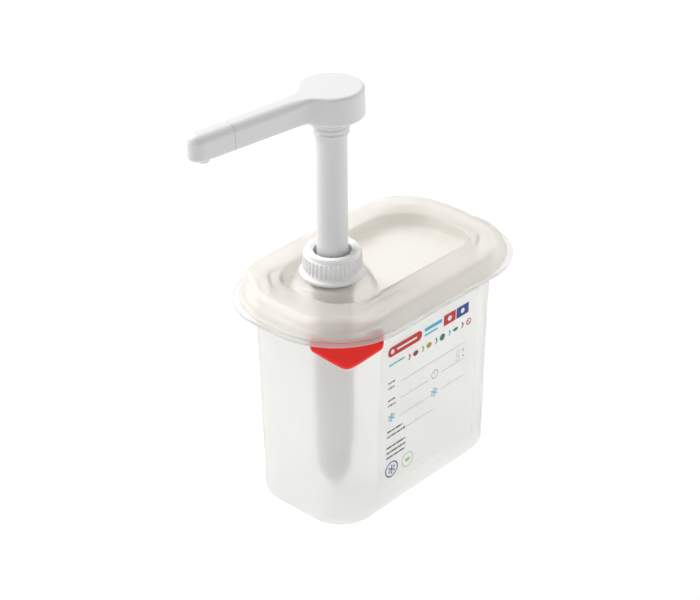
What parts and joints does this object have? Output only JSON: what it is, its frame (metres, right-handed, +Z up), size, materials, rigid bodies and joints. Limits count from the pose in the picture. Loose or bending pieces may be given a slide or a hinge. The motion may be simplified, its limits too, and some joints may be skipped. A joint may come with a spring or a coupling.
{
  "type": "condiment pump dispenser",
  "caption": "Sauce pump dispenser: translucent gastronorm 1/9 tub with lift-off lid, screw cap, spring-return plunger and swivelling side nozzle.",
  "frame": {"origin": "underside of the tub, at the middle of its footprint", "axes": "+X along the long side of the tub, away from the pump; +Y across it; +Z up along the pump's stem"},
  "size_m": [0.2209, 0.108, 0.2654],
  "materials": {
    "tub_plastic": "translucent polypropylene, satin",
    "lid_plastic": "translucent polypropylene, satin, slightly warm",
    "label_film": "clear film with printed write-on fields",
    "clip_red": "glossy moulded",
    "pump_white": "smooth moulded white polypropylene",
    "pump_natural": "natural polyethylene",
    "seal_rubber": "moulded seal",
    "seal_silicone": "soft silicone",
    "valve_steel": "polished stainless",
    "spring_steel": "drawn stainless wire"
  },
  "bodies": {
    "tub": {"container": "tub_plastic", "label_film": "label_film"},
    "clip": {"corner_clip": "clip_red"},
    "lid": {"lid": "lid_plastic", "barrel_gasket": "seal_rubber", "barrel": "pump_natural", "collar": "pump_white", "stem_wiper": "seal_silicone", "foot_valve": "pump_natural", "foot_oring": "seal_rubber", "ball_cage": "pump_natural", "dip_tube": "pump_natural", "pump_spring": "spring_steel"},
    "cap_slider": {"cap_washer": "pump_natural"},
    "cap": {"screw_cap": "pump_white"},
    "follower": {"spring_follower": "pump_white"},
    "plunger": {"piston": "pump_natural", "piston_seal": "seal_silicone", "stem": "pump_white", "head": "pump_white", "nozzle_tip": "pump_white"},
    "inlet_valve": {"inlet_ball": "valve_steel"},
    "outlet_valve": {"outlet_ball": "valve_steel"}
  },
  "joints": [
    {"name": "clip_pull", "type": "slide", "parent": "tub", "child": "clip", "axis": [-0.7071, -0.7071, 0], "range_m": [0, 0.014]},
    {"name": "lid_lift", "type": "slide", "parent": "tub", "child": "lid", "axis": [0, 0, 1], "range_m": [0, 0.15]},
    {"name": "cap_rise", "type": "slide", "parent": "lid", "child": "cap_slider", "axis": [0, 0, 1], "range_m": [0, 0.0091]},
    {"name": "cap_turn", "type": "hinge", "parent": "cap_slider", "child": "cap", "pos_m": [-0.0366, 0, 0.15], "axis": [0, 0, 1], "range_deg": [0, 1080]},
    {"name": "pump_stroke", "type": "slide", "parent": "lid", "child": "follower", "axis": [0, 0, 1], "range_m": [-0.08, 0], "stiffness_N_per_m": 120, "springref_m": 0.03, "deforming": ["pump_spring"]},
    {"name": "head_swivel", "type": "hinge", "parent": "follower", "child": "plunger", "pos_m": [-0.0366, 0, 0.2], "axis": [0, 0, 1], "continuous": true},
    {"name": "inlet_ball_lift", "type": "slide", "parent": "lid", "child": "inlet_valve", "axis": [0, 0, 1], "range_m": [0, 0.003]},
    {"name": "outlet_ball_lift", "type": "slide", "parent": "plunger", "child": "outlet_valve", "axis": [0, 0, 1], "range_m": [0, 0.0015]}
  ],
  "couplings": [
    {"joint": "cap_rise", "follows": "cap_turn", "m_per_rad": 0.00047746}
  ]
}
